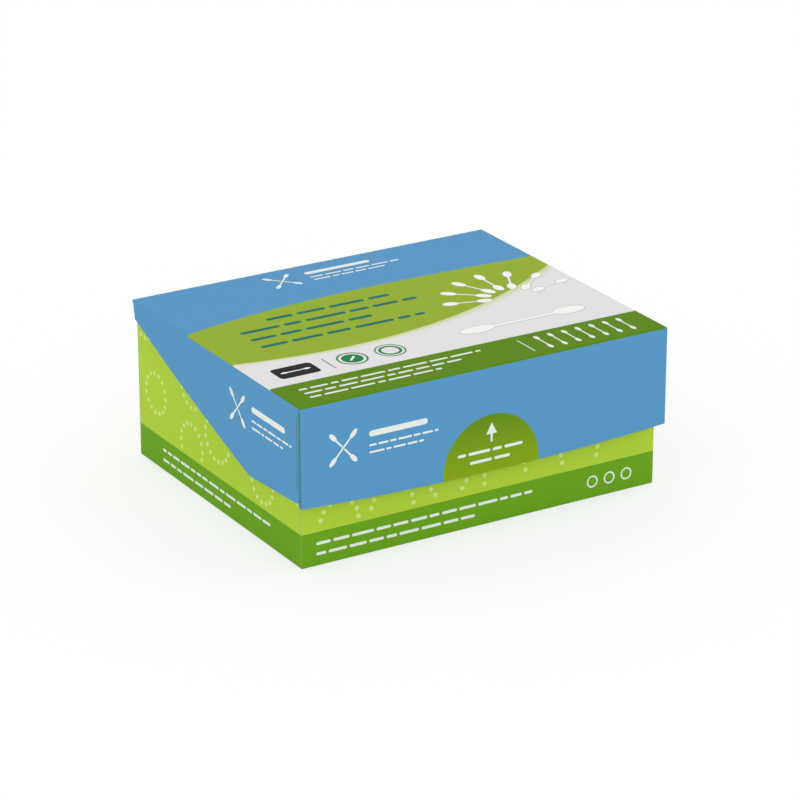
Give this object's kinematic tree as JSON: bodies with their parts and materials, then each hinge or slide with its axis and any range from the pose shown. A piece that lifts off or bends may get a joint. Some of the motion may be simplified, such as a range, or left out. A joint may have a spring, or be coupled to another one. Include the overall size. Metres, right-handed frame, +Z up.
{
  "type": "cotton swab box",
  "caption": "Flip-top box of folded card filled with paper cotton swabs, its lid hinged at the back with a bowed front flap and two tapering side ears.",
  "frame": {"origin": "on the floor, in the middle of the closed box's outline seen from above", "axes": "+Z up, -Y towards the front flap, +Y towards the lid's hinge, +X to the right along the width"},
  "size_m": [0.1028, 0.0846, 0.042],
  "materials": {
    "tray_card": "satin print",
    "lid_card": "satin print",
    "stick_paper": "matte",
    "tip_cotton": "soft matte"
  },
  "bodies": {
    "box": {"tray": "tray_card", "swab_sticks_layer_1": "stick_paper", "swab_sticks_layer_2": "stick_paper", "swab_sticks_layer_3": "stick_paper", "swab_sticks_layer_4": "stick_paper", "swab_sticks_layer_5": "stick_paper", "swab_sticks_layer_6": "stick_paper", "swab_sticks_layer_7": "stick_paper", "swab_sticks_layer_8": "stick_paper", "swab_sticks_layer_9": "stick_paper", "swab_sticks_loose": "stick_paper", "swab_tips_layer_1": "tip_cotton", "swab_tips_layer_2": "tip_cotton", "swab_tips_layer_3": "tip_cotton", "swab_tips_layer_4": "tip_cotton", "swab_tips_layer_5": "tip_cotton", "swab_tips_layer_6": "tip_cotton", "swab_tips_layer_7": "tip_cotton", "swab_tips_layer_8": "tip_cotton", "swab_tips_layer_9": "tip_cotton", "swab_tips_loose": "tip_cotton"},
    "lid_body": {"lid": "lid_card"}
  },
  "joints": [
    {"name": "lid_hinge", "type": "hinge", "parent": "box", "child": "lid_body", "pos_m": [0, 0.0423, 0.04154], "axis": [-1, 0, 0], "range_deg": [0, 180]}
  ]
}
